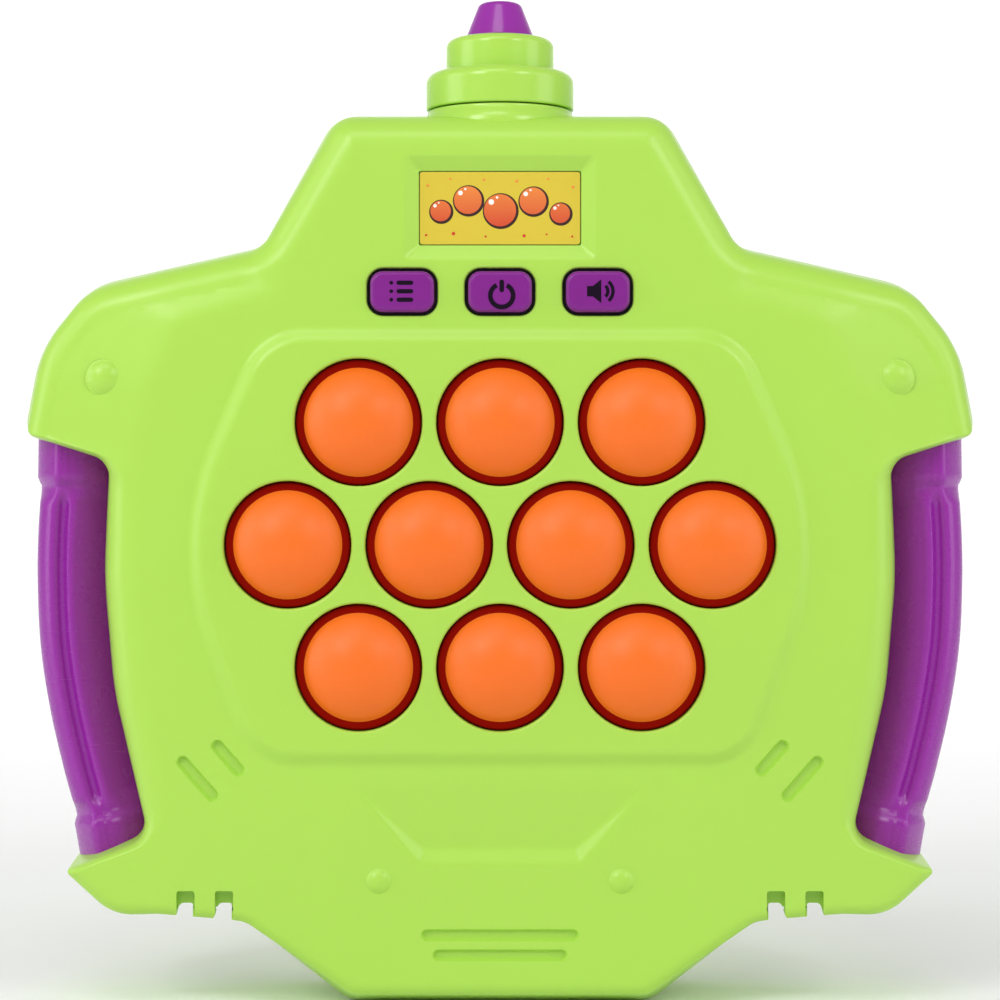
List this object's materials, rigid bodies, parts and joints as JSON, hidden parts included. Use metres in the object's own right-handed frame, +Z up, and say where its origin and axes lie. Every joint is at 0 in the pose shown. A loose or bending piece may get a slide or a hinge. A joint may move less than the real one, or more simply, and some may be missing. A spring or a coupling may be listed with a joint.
{
  "type": "electronic bubble pop game",
  "caption": "Hand-held electronic bubble pop game: moulded two-part case with side grips, silicone press bubbles, control buttons, a knob on top and a battery door.",
  "frame": {"origin": "centre of the flat bottom edge that the game stands on, half way through its thickness", "axes": "+Z up the face to the knob, -Y out of the face towards the player, +X to the player's right; the case is a mirror image about X"},
  "size_m": [0.1712, 0.038, 0.1783],
  "materials": {
    "case_green": "glossy lime green moulding",
    "trim_purple": "glossy purple moulding",
    "window_yellow": "printed yellow plate",
    "mat_silicone": "dark red-brown silicone web",
    "bubble_orange": "satin orange silicone",
    "black_plastic": "matte black",
    "board_green": "green lacquered board",
    "led_white": "milky white",
    "cell_metal": "plain metal jacket",
    "steel": "zinc plated"
  },
  "bodies": {
    "case": {"front_shell": "case_green", "rear_shell": "case_green", "crown_collar": "case_green", "crown_tip": "trim_purple", "grip_left": "trim_purple", "grip_right": "trim_purple", "window_plate": "window_yellow", "bubble_mat": "mat_silicone", "menu_switch": "black_plastic", "power_switch": "black_plastic", "volume_switch": "black_plastic", "controller_chip": "black_plastic", "speaker": "black_plastic", "main_board": "board_green", "led_01": "led_white", "led_02": "led_white", "led_03": "led_white", "led_04": "led_white", "led_05": "led_white", "led_06": "led_white", "led_07": "led_white", "led_08": "led_white", "led_09": "led_white", "led_10": "led_white", "battery_1": "cell_metal", "battery_2": "cell_metal", "battery_3": "cell_metal", "contact_foot_link": "steel", "contact_foot_end": "steel", "contact_head_end": "steel", "contact_head_link": "steel", "case_screw_1": "steel", "case_screw_2": "steel", "case_screw_3": "steel", "case_screw_4": "steel", "case_screw_5": "steel", "case_screw_6": "steel", "board_screw_1": "steel", "board_screw_2": "steel", "board_screw_3": "steel", "board_screw_4": "steel"},
    "battery_door": {"battery_door": "case_green", "battery_door_screw": "steel"},
    "menu_button": {"menu_button": "trim_purple"},
    "power_button": {"power_button": "trim_purple"},
    "volume_button": {"volume_button": "trim_purple"},
    "bubble_01": {"bubble_01": "bubble_orange"},
    "bubble_02": {"bubble_02": "bubble_orange"},
    "bubble_03": {"bubble_03": "bubble_orange"},
    "bubble_04": {"bubble_04": "bubble_orange"},
    "bubble_05": {"bubble_05": "bubble_orange"},
    "bubble_06": {"bubble_06": "bubble_orange"},
    "bubble_07": {"bubble_07": "bubble_orange"},
    "bubble_08": {"bubble_08": "bubble_orange"},
    "bubble_09": {"bubble_09": "bubble_orange"},
    "bubble_10": {"bubble_10": "bubble_orange"}
  },
  "joints": [
    {"name": "bubble_01_press", "type": "slide", "parent": "case", "child": "bubble_01", "axis": [0, 1, 0], "range_m": [0, 0.004], "stiffness_N_per_m": 400},
    {"name": "bubble_02_press", "type": "slide", "parent": "case", "child": "bubble_02", "axis": [0, 1, 0], "range_m": [0, 0.004], "stiffness_N_per_m": 400},
    {"name": "bubble_03_press", "type": "slide", "parent": "case", "child": "bubble_03", "axis": [0, 1, 0], "range_m": [0, 0.004], "stiffness_N_per_m": 400},
    {"name": "bubble_04_press", "type": "slide", "parent": "case", "child": "bubble_04", "axis": [0, 1, 0], "range_m": [0, 0.004], "stiffness_N_per_m": 400},
    {"name": "bubble_05_press", "type": "slide", "parent": "case", "child": "bubble_05", "axis": [0, 1, 0], "range_m": [0, 0.004], "stiffness_N_per_m": 400},
    {"name": "bubble_06_press", "type": "slide", "parent": "case", "child": "bubble_06", "axis": [0, 1, 0], "range_m": [0, 0.004], "stiffness_N_per_m": 400},
    {"name": "bubble_07_press", "type": "slide", "parent": "case", "child": "bubble_07", "axis": [0, 1, 0], "range_m": [0, 0.004], "stiffness_N_per_m": 400},
    {"name": "bubble_08_press", "type": "slide", "parent": "case", "child": "bubble_08", "axis": [0, 1, 0], "range_m": [0, 0.004], "stiffness_N_per_m": 400},
    {"name": "bubble_09_press", "type": "slide", "parent": "case", "child": "bubble_09", "axis": [0, 1, 0], "range_m": [0, 0.004], "stiffness_N_per_m": 400},
    {"name": "bubble_10_press", "type": "slide", "parent": "case", "child": "bubble_10", "axis": [0, 1, 0], "range_m": [0, 0.004], "stiffness_N_per_m": 400},
    {"name": "menu_button_press", "type": "slide", "parent": "case", "child": "menu_button", "axis": [0, 1, 0], "range_m": [0, 0.0006], "stiffness_N_per_m": 1500},
    {"name": "power_button_press", "type": "slide", "parent": "case", "child": "power_button", "axis": [0, 1, 0], "range_m": [0, 0.0006], "stiffness_N_per_m": 1500},
    {"name": "volume_button_press", "type": "slide", "parent": "case", "child": "volume_button", "axis": [0, 1, 0], "range_m": [0, 0.0006], "stiffness_N_per_m": 1500},
    {"name": "battery_door_swing", "type": "hinge", "parent": "case", "child": "battery_door", "pos_m": [0, 0.019, 0.04965], "axis": [-1, 0, 0], "range_deg": [0, 60]}
  ]
}
